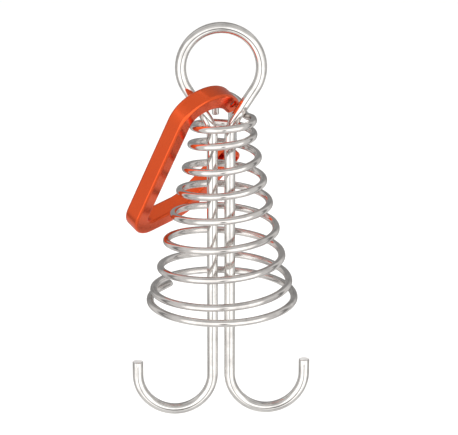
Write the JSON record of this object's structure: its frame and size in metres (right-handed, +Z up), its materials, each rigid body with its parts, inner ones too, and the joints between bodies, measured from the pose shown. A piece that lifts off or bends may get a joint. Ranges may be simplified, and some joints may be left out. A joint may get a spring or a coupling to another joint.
{
  "type": "deck anchor peg",
  "caption": "Sprung anchor peg: a bent wire with a ring and two hooks in a conical compression spring, with an orange aluminium snap clip on the ring.",
  "frame": {"origin": "on the peg's axis, on the surface that the spring's lowest turn stands on", "axes": "+Z up through the ring, the two hooks lie along X, +Y away from the viewer through the ring"},
  "size_m": [0.0712, 0.0618, 0.1568],
  "materials": {
    "peg_steel": "polished stainless steel wire",
    "spring_steel": "polished stainless spring wire",
    "orange_anodised": "glossy orange anodising",
    "gate_metal": "plain bright aluminium",
    "pin_steel": "plain steel"
  },
  "bodies": {
    "spring": {"cone_spring": "spring_steel"},
    "rod": {"hook_rod": "peg_steel"},
    "clip": {"clip_body": "orange_anodised", "hinge_pin": "pin_steel", "nose_pin": "pin_steel", "gate_spring": "spring_steel"},
    "gate": {"clip_gate": "gate_metal"},
    "plunger": {"gate_plunger": "pin_steel"}
  },
  "joints": [
    {"name": "rod_pull", "type": "slide", "parent": "spring", "child": "rod", "axis": [0, 0, -1], "range_m": [0, 0.015], "stiffness_N_per_m": 760, "deforming": ["cone_spring"]},
    {"name": "clip_swing", "type": "hinge", "parent": "rod", "child": "clip", "pos_m": [-0.002, 0, 0.082], "axis": [0, 1, 0], "range_deg": [0, 50]},
    {"name": "gate_swing", "type": "hinge", "parent": "clip", "child": "gate", "pos_m": [0.00255, 0.00442, 0.08013], "axis": [-0.6139, 0.6258, 0.4812], "range_deg": [0, 20], "stiffness_Nm_per_rad": 0.05, "springref_deg": -20.05},
    {"name": "plunger_push", "type": "slide", "parent": "clip", "child": "plunger", "axis": [-0.5252, -0.7788, 0.3429], "range_m": [0, 0.00044]}
  ],
  "couplings": [
    {"joint": "plunger_push", "follows": "gate_swing", "m_per_rad": 0.00125}
  ]
}
